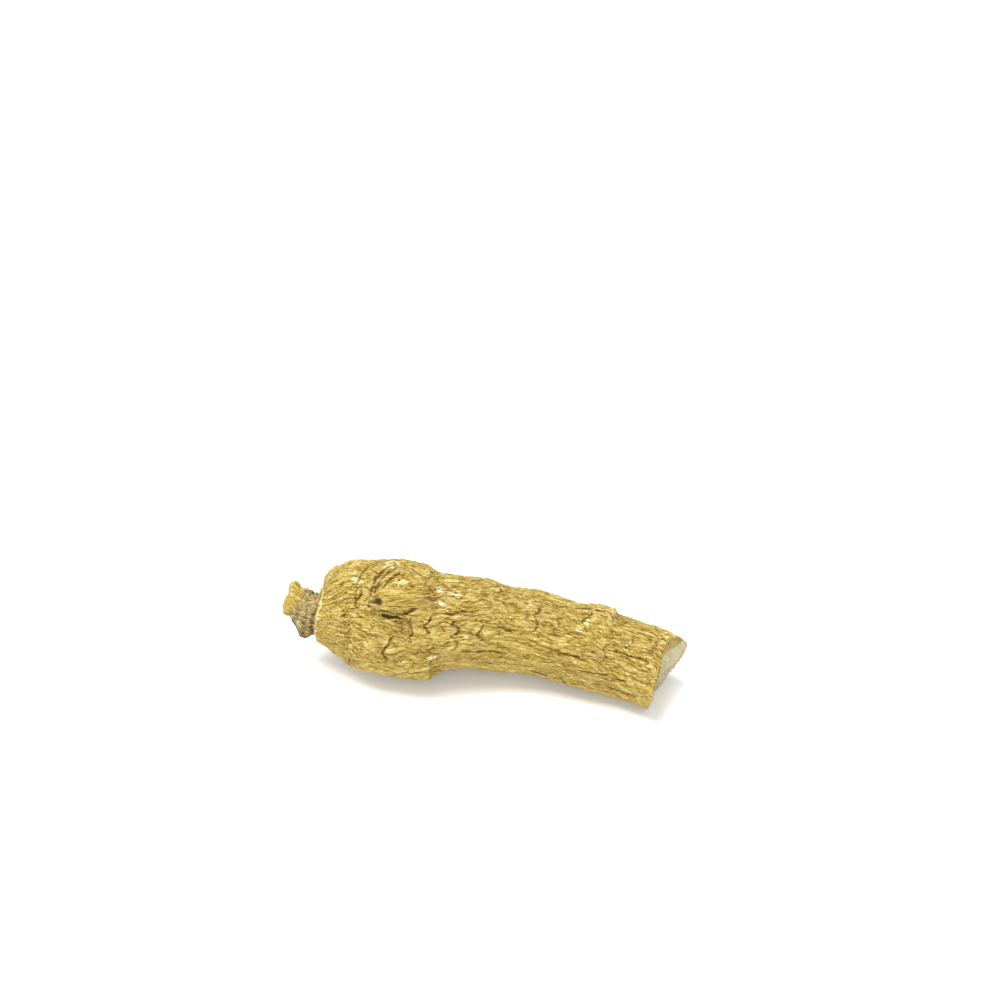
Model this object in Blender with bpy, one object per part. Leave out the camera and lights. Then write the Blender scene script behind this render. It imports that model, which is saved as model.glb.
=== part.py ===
"""A dried ginseng root on its side: the knobbly neck at -X, the cut tail at +X, the seen side at -Y.

The root grew in one piece, so it is one closed skin. Rings of points are strung on a bent spine, from the
tip of the neck, over the collar and the body, to the middle of the cut face. Each point has a place along the
spine and an angle round it: 0 is the front (-Y), 90 degrees is the top. The rings are then lumped, folded and
grooved. Lengths are in millimetres until the mesh is made.
"""

import math

import bmesh
import bpy
import numpy as np

MM = 0.001
NEAR = 0.05  # the spine's direction is read this far each way
NODE = "ginseng_root"

# How finely the skin is divided
RINGS_ALONG = 76
POINTS_ROUND = 64
# Where rings or points are packed closer, for the neck and the side root: the middle, the reach, how much
# closer. The first list is in mm along the skin from the neck's tip, the second in radians round it.
CLOSER_ALONG = [(0, 9, 1.1), (24, 5, 1.5)]
CLOSER_ROUND = [(1.12, 0.5, 1.0)]
# The rings on the hollow at the neck's tip and on the cut face, as shares of the radius
TIP_SHARES = np.array([0.25, 0.5, 0.75])
FACE_SHARES = np.array([0.97, 0.9, 0.7, 0.5, 0.3, 0.12])

# The spine: distance along it, then the middle of the root there (x, y, z)
SPINE = np.array([
    (0.0, -0.9, 2.9, 10.7),
    (2.0, 1.1, 2.4, 10.3),
    (4.0, 3.1, 1.6, 9.7),
    (6.0, 5.1, 1.6, 9.5),
    (10.2, 9.3, 2.8, 9.5),
    (19.2, 18.3, 3.2, 8.95),
    (23.3, 22.4, 3.3, 8.75),
    (27.6, 26.7, 3.9, 8.9),
    (35.6, 34.7, 5.2, 8.5),
    (45.5, 44.6, 4.8, 7.5),
    (54.0, 53.0, 4.1, 6.6),
    (60.5, 59.4, 2.6, 6.0),
    (64.0, 62.8, 1.3, 5.85),
])

# The outline from the rim of the neck's tip to the rim of the cut face: distance along the spine, radius
TIP_RIM = (0.3, 1.9)
COLLAR_AT = 5.8
CUT_AT = 62.1
CUT_RADIUS = 6.3
OUTLINE = np.array([
    TIP_RIM,
    (0.9, 2.6),
    (1.7, 2.75),
    (2.6, 2.75),
    (3.4, 3.0),
    (4.4, 3.35),
    (5.3, 3.55),
    (COLLAR_AT - 0.05, 3.55),
    (COLLAR_AT, 4.45),
    (6.3, 5.0),
    (7.9, 6.4),
    (10.3, 7.85),
    (12.9, 8.4),
    (16.0, 8.8),
    (19.2, 8.95),
    (22.0, 8.7),
    (24.2, 8.25),
    (26.0, 7.7),
    (28.0, 7.55),
    (32.0, 7.55),
    (36.0, 7.15),
    (41.0, 6.85),
    (50.0, 6.85),
    (57.0, 6.55),
    (CUT_AT, CUT_RADIUS),
])
# Where the cutter left the end longer or shorter: to which side in degrees, and how much longer
CUT_EDGE = np.array([
    (0, 1.7),
    (44, 1.7),
    (70, 1.0),
    (90, 0.1),
    (110, 0.2),
    (135, 0.9),
    (165, 1.1),
    (200, 0.15),
    (224, -0.75),
    (264, -1.25),
    (300, -0.4),
    (330, 0.8),
])
EDGE_FROM = 52  # the rings start to slant here, so as to end in the slant of the cut
CUT_CORNERS = [(82, 24, 0.10), (150, 30, 0.04)]  # the cut isn't round: angle and reach in degrees, share
CUT_DISH, DISH_WIDTH = 0.35, 0.35  # the flesh shrank back this far, over this share of the radius
TIP_DISH = 0.5  # the hollow of the old stem scar on the neck's tip

# How the root is out of round: share of the radius, lobes, twist in radians to a mm, turn in radians
SECTION = [(0.035, 2, 0.07, 0.8), (0.028, 3, -0.11, 2.1)]

# Broad swellings and hollows: distance, angle in degrees, reaches in mm and degrees, height
SWELLS = [
    (22.5, 130, 3.5, 30, 0.45),
    (35.8, 130, 2.4, 35, -0.8),
    (29.0, -50, 3.5, 30, -0.5),
    (8.0, 130, 1.4, 40, 0.2),
    (10.8, 130, 1.2, 40, 0.3),
    (17.3, 130, 2.5, 34, 0.4),
    (2.1, -50, 1.0, 40, -0.8),
    (6.6, -45, 1.2, 40, -0.4),
    (32.0, -50, 1.6, 30, -0.1),
    (38.0, -50, 2.5, 30, 0.3),
]

# Lumps and wrinkles: height, length along the root, width round it, seed
LUMPS = [(0.40, 9.0, 5.5, 11), (0.22, 4.5, 3.2, 12)]
RIDGE_HEIGHT, RIDGE_LENGTH, RIDGE_WIDTH = 1.25, 10.0, 3.4
RIDGE_SWAY = 0.16  # how far a ridge wanders round the root, in radians
RIDGE_SHARPNESS = 0.75  # under 1, the valleys between the ridges are sharper than their crests
RIDGE_LEVEL = 0.38  # the middle height of a ridge
NOISE_RADIUS = 8.0  # wrinkles are laid out as if the root were this thick all along

# Plates of old leaf scars on the neck: distance along the spine, height
NECK_PLATES = [(3.15, 0.30), (4.05, 0.36), (4.95, 0.34)]
PLATE_WIDTH = 0.26
PLATE_TILT, PLATE_TURN = 0.18, 0.6  # how far the plates lean along the neck, and to which side in radians
PLATE_WANDER = 0.22

# Grooves across the root, each over part of the way round: distance, angle and reach in degrees, depth
GROOVES = [
    (12.4, 61, 11, 0.28),
    (18.3, 10, 12, 0.32),
    (14.8, 71, 18, 0.40),
    (21.8, 37, 10, 0.25),
    (24.2, 42, 8, 0.28),
    (10.9, 15, 9, 0.20),
    (28.2, 39, 8, 0.28),
    (27.9, 20, 9, 0.20),
    (31.6, 37, 12, 0.34),
    (34.4, 102, 12, 0.32),
    (35.6, 74, 10, 0.20),
    (41.1, 61, 13, 0.34),
    (48.7, 76, 14, 0.25),
    (56.8, 63, 9, 0.20),
    (53.3, 42, 11, 0.20),
    (9.4, 150, 20, 0.30),
    (13.4, 190, 24, 0.42),
    (18.2, 165, 16, 0.42),
    (22.8, 205, 18, 0.40),
    (29.0, 150, 14, 0.36),
    (35.5, 200, 20, 0.36),
    (43.0, 170, 16, 0.34),
    (51.5, 195, 18, 0.30),
    (58.5, 170, 12, 0.26),
    (12.0, 285, 12, 0.34),
    (27.5, 290, 14, 0.34),
    (41.0, 280, 14, 0.30),
    (47.0, 330, 10, 0.25),
]
GROOVE_WIDTH = 0.55
GROOVE_WANDER = 0.55
LIP_AT, LIP_HEIGHT = 1.9, 0.55  # a groove's lips: groove widths from its middle, share of its depth

# Slabs of thicker bark that end in a step: from, to, angle in degrees, reach in degrees, height
SLABS = [
    (17.5, 24.1, -46, 44, 0.45),
    (46.0, 52.4, 122, 42, 0.7),
    (29.5, 36.0, 182, 40, 0.45),
]
STEP_LENGTH = 0.5
STEP_WANDER = 0.5
SLAB_RISE = 1.3  # a slab has its full height after 1 / 1.3 of its length

# Stubs and knobs that stand out of the skin. Each has its middle (distance, angle in degrees), its half
# length and half width, where its point lies from its middle (out, along, round), how blunt it is, and the
# dip in its end
STUBS = {
    "side_root": ((20.4, 71), (3.9, 3.2), (1.0, -4.8, -2.4), 0.34, 0.5),
    "tip_knob": ((0.9, 118), (1.1, 1.5), (1.0, -0.1, 0.0), 0.5, 0.15),
    "shoulder_knob": ((2.9, 118), (1.2, 1.4), (0.6, -0.2, 0.0), 0.5, 0.1),
    "brown_knob": ((4.3, -50), (0.8, 1.1), (0.9, 0.2, -0.2), 0.4, 0.0),
    "back_knob": ((2.6, 215), (1.5, 1.5), (0.8, -0.2, 0.0), 0.6, 0.45),
    "torn_flap": ((23.3, -40), (1.0, 1.5), (0.4, 0.8, -0.3), 0.2, 0.0),
    "back_rootlet": ((31.5, 208), (1.8, 1.8), (1.7, 1.0, 0.3), 0.55, 0.4),
    "low_rootlet": ((44.0, 236), (1.2, 1.2), (0.9, 0.5, 0.0), 0.5, 0.3),
}

# Pits left by rootlets: distance, angle in degrees, radius, depth
PITS = [
    (60.7, 62, 0.85, 0.55),
    (25.2, 45, 0.75, 0.45),
    (37.5, 172, 1.0, 0.55),
    (15.5, 222, 0.9, 0.5),
    (55.5, 205, 0.9, 0.5),
]
PIT_RIM_AT, PIT_RIM_WIDTH, PIT_RIM_HEIGHT = 1.4, 0.4, 0.35  # in pit radii, and as a share of the depth

REST_FADE = 1.6  # the wrinkles fade out this far above the surface that the root lies on
COLLAR_FADE, CUT_FADE = 2.5, 1.5  # and this far from the collar and from the cut
SHARP_EDGE = math.radians(50)  # an edge sharper than this isn't shaded smooth
DIRECTIONS = np.random.default_rng(7).normal(size=(64, 3))
DIRECTIONS /= np.linalg.norm(DIRECTIONS, axis=1, keepdims=True)


def ease(x):
    """0 below 0, 1 above 1, and a smooth rise between."""
    x = np.clip(x, 0.0, 1.0)
    return x * x * (3 - 2 * x)


def through(stops, at):
    """The smooth curve through stops, whose first column is the distance, read at the distances at."""
    key, value = stops[:, 0], stops[:, 1:]
    slope = np.gradient(value, key, axis=0)
    index = np.clip(np.searchsorted(key, at) - 1, 0, len(key) - 2)
    span = (key[index + 1] - key[index])[..., None]
    t = (at - key[index])[..., None] / span
    rise = 3 * t**2 - 2 * t**3
    lead = t * (1 - t) ** 2 * span
    trail = -(t**2) * (1 - t) * span
    level = value[index] * (1 - rise) + value[index + 1] * rise
    return level + slope[index] * lead + slope[index + 1] * trail


def noise(points, seed):
    """Smooth noise, about -1 to 1, with one swell to each unit of length."""
    cell = np.floor(points).astype(np.int64)
    part = points - cell
    fade = part**3 * (part * (part * 6 - 15) + 10)
    total = np.zeros(points.shape[:-1])
    for corner in np.ndindex(2, 2, 2):
        x, y, z = np.moveaxis(cell + corner, -1, 0)
        key = (x * 374761393 + y * 668265263 + z * 1440662683 + seed * 1274126177) & 0xFFFFFFFF
        key = ((key ^ (key >> 13)) * 1274126177) & 0xFFFFFFFF
        slope = DIRECTIONS[(key ^ (key >> 16)) % len(DIRECTIONS)]
        weight = np.where(corner, fade, 1 - fade).prod(-1)
        total += weight * ((part - corner) * slope).sum(-1)
    return 1.7 * total


def grain(along, angle, length, width, seed):
    """Noise laid on the skin, drawn out to length along the root and width round it."""
    turn = NOISE_RADIUS / width
    return noise(np.stack([along / length, turn * np.cos(angle), turn * np.sin(angle)], -1), seed)


def turn_from(angle, degrees):
    """The angle from a line at so many degrees, from -pi to pi."""
    return (angle - math.radians(degrees) + math.pi) % (2 * math.pi) - math.pi


def packed(high, count, closer):
    """count values from 0 to high, closer together near the places in closer."""
    fine = np.linspace(0, high, 2000)
    crowd = 1 + sum(more * np.exp(-(((fine - middle) / reach) ** 2)) for middle, reach, more in closer)
    share = np.cumsum(crowd)
    share = (share - share[0]) / (share[-1] - share[0])
    return np.interp(np.linspace(0, 1, count), share, fine)


def cover(angle, degrees, reach):
    """1 within reach degrees of a line at so many degrees, and 0 well away from it."""
    return ease(1.6 - np.abs(turn_from(angle, degrees)) / math.radians(0.8 * reach))


def wander(angle, seed):
    """Smooth noise that changes only round the root."""
    return grain(0 * angle, angle, 1, 4.0, seed)


def spots(along, angle, places):
    """The heights of all the broad spots at each point."""
    total = np.zeros(along.shape)
    for at, degrees, long, wide, share in places:
        off = ((along - at) / long) ** 2 + (turn_from(angle, degrees) / math.radians(wide)) ** 2
        total += share * np.exp(-off)
    return total


def skin_layout(rings, columns):
    """Distance along the spine, radius and angle of each point, and 1 where it has the wrinkled skin."""
    steps = np.linalg.norm(np.diff(OUTLINE, axis=0), axis=1)
    travel = np.concatenate([[0], np.cumsum(steps)])
    side = through(np.column_stack([travel, OUTLINE]), packed(travel[-1], rings, CLOSER_ALONG))
    tip = np.column_stack([TIP_RIM[0] + TIP_DISH * (1 - TIP_SHARES**2), TIP_RIM[1] * TIP_SHARES])
    dish = CUT_DISH * ease((1 - FACE_SHARES) / DISH_WIDTH)
    face = np.column_stack([CUT_AT - dish, CUT_RADIUS * FACE_SHARES])
    along, radius = np.concatenate([tip, side, face]).T
    skin = np.concatenate([np.zeros(len(tip)), np.ones(len(side)), np.zeros(len(face))])

    angle = packed(2 * math.pi, columns + 1, CLOSER_ROUND)[:-1]
    along, angle = np.meshgrid(along, angle, indexing="ij")
    radius = np.broadcast_to(radius[:, None], along.shape)
    skin = np.broadcast_to(skin[:, None], along.shape)
    longer = np.interp(np.degrees(angle), *CUT_EDGE.T, period=360) * radius / CUT_RADIUS
    along = along + longer * ease((along - EDGE_FROM) / (CUT_AT - EDGE_FROM))
    return along, radius, angle, skin


def on_spine(along, radius, angle):
    """Points of a plain tube of that radius round the spine."""
    middle = through(SPINE, along)
    ahead = through(SPINE, along + NEAR) - through(SPINE, along - NEAR)
    ahead /= np.linalg.norm(ahead, axis=-1, keepdims=True)
    front = np.cross(ahead, (0, 0, 1))
    front /= np.linalg.norm(front, axis=-1, keepdims=True)
    up = np.cross(front, ahead)
    out = front * np.cos(angle)[..., None] + up * np.sin(angle)[..., None]
    return middle + radius[..., None] * out


def axes_on(points):
    """Unit vectors out of the skin, along it towards the tail, and round it."""
    along = np.gradient(points, axis=0)
    ringed = np.concatenate([points[:, -1:], points, points[:, :1]], axis=1)
    around = (ringed[:, 2:] - ringed[:, :-2]) / 2
    out = np.cross(along, around)
    return [v / np.linalg.norm(v, axis=-1, keepdims=True).clip(1e-9) for v in (out, along, around)]


def section(along, angle):
    """The radius as a share of a round root's."""
    lobes = sum(share * np.cos(n * angle + twist * along + turn) for share, n, twist, turn in SECTION)
    corners = sum(share * cover(angle, degrees, reach) for degrees, reach, share in CUT_CORNERS)
    near_cut = ease((along - EDGE_FROM) / (CUT_AT - EDGE_FROM))
    return 1 + lobes * ease((along - COLLAR_AT) / COLLAR_FADE) + corners * near_cut


def wrinkles(along, angle):
    """Lumps, and long ridges with sharp valleys between them."""
    height = sum(h * grain(along, angle, length, width, seed) for h, length, width, seed in LUMPS)
    swayed = angle + RIDGE_SWAY * grain(along, angle, 6.0, 6.0, 21)
    crest = np.abs(grain(along, swayed, RIDGE_LENGTH, RIDGE_WIDTH, 22)) ** RIDGE_SHARPNESS
    strength = 0.65 + 0.5 * grain(along, angle, 9.0, 8.0, 23)
    return height + RIDGE_HEIGHT * strength * (crest - RIDGE_LEVEL)


def neck_plates(along, angle):
    """Thin ragged plates round the neck, with deep gaps between them."""
    ragged = PLATE_WANDER * grain(along, angle, 30, 5.0, 31)
    placed = along + ragged + PLATE_TILT * np.sin(angle + PLATE_TURN)
    height = sum(h * np.exp(-(((placed - at) / PLATE_WIDTH) ** 2)) for at, h in NECK_PLATES)
    return height * (0.75 + 0.6 * grain(along, angle, 2.5, 3.5, 32))


def grooves(along, angle):
    """Short grooves across the root, with a low lip on each side."""
    total = np.zeros(along.shape)
    for seed, (at, degrees, reach, depth) in enumerate(GROOVES):
        off = np.abs(along - at - GROOVE_WANDER * wander(angle, 40 + seed)) / GROOVE_WIDTH
        shape = LIP_HEIGHT * np.exp(-((off - LIP_AT) ** 2)) - np.exp(-(off**2))
        total += depth * cover(angle, degrees, reach) * shape
    return total


def slabs(along, angle):
    """Stretches of thicker bark, each ending in a step towards the tail."""
    total = np.zeros(along.shape)
    for seed, (start, end, degrees, reach, height) in enumerate(SLABS):
        edge = end + STEP_WANDER * wander(angle, 70 + seed)
        rise = ease(SLAB_RISE * (along - start) / (end - start))
        drop = ease((edge - along) / STEP_LENGTH + 0.5)
        total += height * cover(angle, degrees, reach) * rise * drop
    return total


def pits(along, radius, angle):
    """Round pits with a low rim."""
    total = np.zeros(along.shape)
    for at, degrees, size, depth in PITS:
        away = np.hypot(along - at, radius * turn_from(angle, degrees)) / size
        rim = PIT_RIM_HEIGHT * np.exp(-(((away - PIT_RIM_AT) / PIT_RIM_WIDTH) ** 2))
        total += depth * (rim - np.exp(-(away**3)))
    return total


def add_stub(points, axes, along, radius, angle, place, size, point, blunt, dip):
    """Draws the skin out into a leaning stub; axes are the plain skin's."""
    at, degrees = place
    away = np.hypot((along - at) / size[0], radius * turn_from(angle, degrees) / size[1])
    rise = np.clip((1 - away) / (1 - blunt), 0, 1) ** 1.15
    rise -= dip / 4 * np.exp(-((away / (0.8 * blunt)) ** 2))
    nearest = np.unravel_index(np.argmin(away), away.shape)
    draw = sum(share * axis[nearest] for share, axis in zip(point, axes))
    points += rise[..., None] * draw


def root_points():
    """The skin's points, ring by ring, in millimetres."""
    along, radius, angle, skin = skin_layout(RINGS_ALONG, POINTS_ROUND)
    radius = radius * section(along, angle)
    points = on_spine(along, radius, angle)
    axes = axes_on(points)
    on_body = ease((along - COLLAR_AT) / COLLAR_FADE) * ease((CUT_AT - along) / CUT_FADE + 1)
    height = on_body * (wrinkles(along, angle) + grooves(along, angle) + slabs(along, angle))
    height += on_body * pits(along, radius, angle) + spots(along, angle, SWELLS)
    height += (along < COLLAR_AT) * neck_plates(along, angle)
    height *= skin * ease(points[..., 2] / REST_FADE)
    points += height[..., None] * axes[0]
    for place, size, point, blunt, dip in STUBS.values():
        add_stub(points, axes, along, radius, angle, place, size, point, blunt, dip)
    return points


def set_down(points):
    """The root on its flat resting spots at height 0, with the middle of its box at the origin."""
    points[..., 2] = np.maximum(points[..., 2], 0)
    flat = points[..., :2].reshape(-1, 2)
    points[..., :2] -= (flat.min(axis=0) + flat.max(axis=0)) / 2
    return points


def skin_mesh(name, points):
    """A closed mesh of the rings, with a fan at each end."""
    bm = bmesh.new()
    rings = [[bm.verts.new(p * MM) for p in ring] for ring in points]
    for ring, following in zip(rings, rings[1:]):
        for i, corner in enumerate(ring):
            bm.faces.new((ring[i - 1], corner, following[i], following[i - 1]))
    for ring in (rings[0], rings[-1]):
        middle = bm.verts.new(sum((v.co for v in ring[1:]), ring[0].co.copy()) / len(ring))
        for i, corner in enumerate(ring):
            bm.faces.new((middle, ring[i - 1], corner))
    bmesh.ops.recalc_face_normals(bm, faces=bm.faces)
    mesh = bpy.data.meshes.new(name)
    bm.to_mesh(mesh)
    bm.free()
    mesh.shade_smooth()
    mesh.set_sharp_from_angle(angle=SHARP_EDGE)
    return mesh


def dried_bark():
    """Straw-coloured dried bark."""
    material = bpy.data.materials.new("dried_bark")
    material.use_nodes = True
    shader = material.node_tree.nodes["Principled BSDF"]
    shader.inputs["Base Color"].default_value = (0.61, 0.44, 0.16, 1)
    shader.inputs["Roughness"].default_value = 0.7
    shader.inputs["Metallic"].default_value = 0.0
    return material


def main():
    for obj in list(bpy.data.objects):
        bpy.data.objects.remove(obj)
    mesh = skin_mesh(NODE, set_down(root_points()))
    mesh.materials.append(dried_bark())
    root = bpy.data.objects.new(NODE, mesh)
    bpy.context.scene.collection.objects.link(root)


main()
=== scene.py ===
"""A dried ginseng root on a white floor: the CAD model's skin, divided finely and dressed in fine relief.

The skin is made as in the CAD model: rings of points on a bent spine, from the tip of the neck to the middle
of the cut face, with the same swellings and stubs. Finer folds, grooves, cracks and torn bark come on top.
What the relief does at each point is kept as numbers on the mesh, and the bark's material takes its colours
from them: painted shade in the furrows, grooves, cracks and hollows, and painted highlights on the crests and
lips.
Lengths are in millimetres until the mesh is made.
"""

import math

import bpy
import numpy as np
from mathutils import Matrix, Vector

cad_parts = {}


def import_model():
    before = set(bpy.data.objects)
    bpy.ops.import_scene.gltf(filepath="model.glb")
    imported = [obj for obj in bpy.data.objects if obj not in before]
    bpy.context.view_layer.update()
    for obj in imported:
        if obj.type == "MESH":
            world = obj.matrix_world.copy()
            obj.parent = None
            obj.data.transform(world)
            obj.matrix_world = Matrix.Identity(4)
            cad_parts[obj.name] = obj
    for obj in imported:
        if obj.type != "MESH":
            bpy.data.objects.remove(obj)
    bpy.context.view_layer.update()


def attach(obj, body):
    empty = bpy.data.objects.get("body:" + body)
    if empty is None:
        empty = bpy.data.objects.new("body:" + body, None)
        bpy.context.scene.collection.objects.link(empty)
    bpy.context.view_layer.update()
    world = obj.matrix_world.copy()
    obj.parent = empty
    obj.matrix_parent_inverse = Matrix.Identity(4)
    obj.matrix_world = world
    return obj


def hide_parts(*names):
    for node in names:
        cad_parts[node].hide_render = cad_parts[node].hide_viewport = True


MM = 0.001
NEAR = 0.05  # the spine's direction is read this far each way
NODE = "ginseng_root"
CAD_MIDDLE = (31.6205, 3.3252)  # the middle of the CAD model's box, before the box was centred

# How finely the skin is divided
RINGS = 268
COLUMNS = 340
# Where rings or points are packed closer, for the neck and the side root: the middle, the reach, how much
# closer. The first list is in mm along the skin from the neck's tip, the second in radians round it.
CLOSER_ALONG = [(0, 9, 1.1), (24, 5, 1.5)]
CLOSER_ROUND = [(1.12, 0.5, 1.0)]
# The rings on the hollow at the neck's tip and on the cut face, as shares of the radius
TIP_SHARES = np.array([0.25, 0.5, 0.75])
FACE_SHARES = np.linspace(0.98, 0.06, 22)

# The spine: distance along it, then the middle of the root there (x, y, z)
SPINE = np.array([
    (0.0, -0.9, 2.9, 10.7),
    (2.0, 1.1, 2.4, 10.3),
    (4.0, 3.1, 1.6, 9.7),
    (6.0, 5.1, 1.6, 9.5),
    (10.2, 9.3, 2.8, 9.5),
    (19.2, 18.3, 3.2, 8.95),
    (23.3, 22.4, 3.3, 8.75),
    (27.6, 26.7, 3.9, 8.9),
    (35.6, 34.7, 5.2, 8.5),
    (45.5, 44.6, 4.8, 7.5),
    (54.0, 53.0, 4.1, 6.6),
    (60.5, 59.4, 2.6, 6.0),
    (64.0, 62.8, 1.3, 5.85),
])

# The outline from the rim of the neck's tip to the rim of the cut face: distance along the spine, radius
TIP_RIM = (0.3, 1.9)
COLLAR_AT = 5.8
CUT_AT = 62.1
CUT_RADIUS = 6.3
OUTLINE = np.array([
    TIP_RIM,
    (0.9, 2.6),
    (1.7, 2.75),
    (2.6, 2.75),
    (3.4, 3.0),
    (4.4, 3.35),
    (5.3, 3.55),
    (COLLAR_AT - 0.05, 3.55),
    (COLLAR_AT, 4.45),
    (6.3, 5.0),
    (7.9, 6.4),
    (10.3, 7.85),
    (12.9, 8.4),
    (16.0, 8.8),
    (19.2, 8.95),
    (22.0, 8.7),
    (24.2, 8.25),
    (26.0, 7.7),
    (28.0, 7.55),
    (32.0, 7.55),
    (36.0, 7.15),
    (41.0, 6.85),
    (50.0, 6.85),
    (57.0, 6.55),
    (CUT_AT, CUT_RADIUS),
])
# Where the cutter left the end longer or shorter: to which side in degrees, and how much longer
CUT_EDGE = np.array([
    (0, 1.7),
    (44, 1.7),
    (70, 1.0),
    (90, 0.1),
    (110, 0.2),
    (135, 0.9),
    (165, 1.1),
    (200, 0.15),
    (224, -0.75),
    (264, -1.25),
    (300, -0.4),
    (330, 0.8),
])
EDGE_FROM = 52  # the rings start to slant here, so as to end in the slant of the cut
CUT_CORNERS = [(82, 24, 0.10), (150, 30, 0.04)]  # the cut isn't round: angle and reach in degrees, share
CUT_DISH, DISH_WIDTH = 0.35, 0.35  # the flesh shrank back this far, over this share of the radius
TIP_DISH = 0.5  # the hollow of the old stem scar on the neck's tip

# How the root is out of round: share of the radius, lobes, twist in radians to a mm, turn in radians
SECTION = [(0.035, 2, 0.07, 0.8), (0.028, 3, -0.11, 2.1)]

# Broad swellings and hollows: distance, angle in degrees, reaches in mm and degrees, height
SWELLS = [
    (22.5, 130, 3.5, 30, 0.45),
    (35.8, 130, 2.4, 35, -0.8),
    (29.0, -50, 3.5, 30, -0.5),
    (8.0, 130, 1.4, 40, 0.2),
    (10.8, 130, 1.2, 40, 0.3),
    (17.3, 130, 2.5, 34, 0.4),
    (2.1, -50, 1.0, 40, -0.8),
    (6.6, -45, 1.2, 40, -0.4),
    (32.0, -50, 1.6, 30, -0.1),
    (38.0, -50, 2.5, 30, 0.3),
]

# Lumps and wrinkles: height, length along the root, width round it, seed
LUMPS = [(0.40, 9.0, 5.5, 11), (0.22, 4.5, 3.2, 12)]
RIDGE_HEIGHT, RIDGE_LENGTH, RIDGE_WIDTH = 1.25, 10.0, 3.4
RIDGE_SWAY = 0.16  # how far a ridge wanders round the root, in radians
RIDGE_SHARPNESS = 0.75  # under 1, the valleys between the ridges are sharper than their crests
RIDGE_LEVEL = 0.38  # the middle height of a ridge
NOISE_RADIUS = 8.0  # wrinkles are laid out as if the root were this thick all along

# Plates of old leaf scars on the neck: distance along the spine, height
NECK_PLATES = [(3.15, 0.30), (4.05, 0.36), (4.95, 0.34)]
PLATE_WIDTH = 0.26
PLATE_TILT, PLATE_TURN = 0.18, 0.6  # how far the plates lean along the neck, and to which side in radians
PLATE_WANDER = 0.22

# Grooves across the root, each over part of the way round: distance, angle and reach in degrees, depth
GROOVES = [
    (12.4, 61, 11, 0.28),
    (18.3, 10, 12, 0.32),
    (14.8, 71, 18, 0.40),
    (21.8, 37, 10, 0.25),
    (24.2, 42, 8, 0.28),
    (10.9, 15, 9, 0.20),
    (28.2, 39, 8, 0.28),
    (27.9, 20, 9, 0.20),
    (31.6, 37, 12, 0.34),
    (34.4, 102, 12, 0.32),
    (35.6, 74, 10, 0.20),
    (41.1, 61, 13, 0.34),
    (48.7, 76, 14, 0.25),
    (56.8, 63, 9, 0.20),
    (53.3, 42, 11, 0.20),
    (9.4, 150, 20, 0.30),
    (13.4, 190, 24, 0.42),
    (18.2, 165, 16, 0.42),
    (22.8, 205, 18, 0.40),
    (29.0, 150, 14, 0.36),
    (35.5, 200, 20, 0.36),
    (43.0, 170, 16, 0.34),
    (51.5, 195, 18, 0.30),
    (58.5, 170, 12, 0.26),
    (12.0, 285, 12, 0.34),
    (27.5, 290, 14, 0.34),
    (41.0, 280, 14, 0.30),
    (47.0, 330, 10, 0.25),
]

# Slabs of thicker bark that end in a step: from, to, angle in degrees, reach in degrees, height
SLABS = [
    (17.5, 24.1, -46, 44, 0.45),
    (46.0, 52.4, 122, 42, 0.7),
    (29.5, 36.0, 182, 40, 0.45),
]
STEP_LENGTH = 0.5
STEP_WANDER = 0.5
SLAB_RISE = 1.3  # a slab has its full height after 1 / 1.3 of its length

# Stubs and knobs that stand out of the skin. Each has its middle (distance, angle in degrees), its half
# length and half width, where its point lies from its middle (out, along, round), how blunt it is, and the
# dip in its end
STUBS = {
    "side_root": ((20.4, 71), (3.9, 3.2), (1.0, -4.8, -2.4), 0.34, 0.5),
    "tip_knob": ((0.9, 118), (1.1, 1.5), (1.0, -0.1, 0.0), 0.5, 0.15),
    "shoulder_knob": ((2.9, 118), (1.2, 1.4), (0.6, -0.2, 0.0), 0.5, 0.1),
    "brown_knob": ((4.3, -50), (0.8, 1.1), (0.9, 0.2, -0.2), 0.4, 0.0),
    "back_knob": ((2.6, 215), (1.5, 1.5), (0.8, -0.2, 0.0), 0.6, 0.45),
    "torn_flap": ((23.3, -40), (1.0, 1.5), (0.4, 0.8, -0.3), 0.2, 0.0),
    "back_rootlet": ((31.5, 208), (1.8, 1.8), (1.7, 1.0, 0.3), 0.55, 0.4),
    "low_rootlet": ((44.0, 236), (1.2, 1.2), (0.9, 0.5, 0.0), 0.5, 0.3),
}

REST_FADE = 1.6  # the wrinkles fade out this far above the surface that the root lies on
COLLAR_FADE, CUT_FADE = 2.5, 1.5  # and this far from the collar and from the cut

# Folds, the lengthwise wrinkles: their furrows are where a noise crosses zero. Share, length, width, seed
FOLDS = [(1.0, 3.4, 1.0, 71), (0.7, 1.8, 0.6, 72)]
LONG_FOLDS = [(1.0, 10.0, 0.9, 75), (0.6, 5.0, 0.55, 76)]  # those low on the front
LONG_BELOW, LONG_FADE = 42, 24  # in degrees
LONG_FROM, LONG_RISE = 22, 5
FOLD_HEIGHT, FOLD_SHARPNESS, FOLD_LEVEL = 0.36, 0.85, 0.4
CRINKLES = [(0.10, 5.0, 6.0, 73), (0.06, 1.6, 2.0, 74)]  # how they sway: radians, length, width, seed
BIG_RIDGES = 0.45  # the share of the CAD model's ridges that stays, where the folds take over
# Creases across the root: height, length, width, seed, and how they sway. They are strong in some places:
# distance, degrees, reach along, reach round in degrees, strength
CREASES = (0.16, 0.9, 2.6, 64)
CREASE_SWAY, CREASE_SWAY_GRAIN = 0.5, (3, 3, 66)
CREASE_PLACES = [
    (8.0, 60, 4.0, 90, 0.5),
    (15.0, 80, 3.5, 50, 0.8),
    (22.0, 30, 4.0, 40, 0.7),
    (50.0, 60, 4.0, 60, 0.3),
]
CREASE_LEVEL = 0.25
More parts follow.
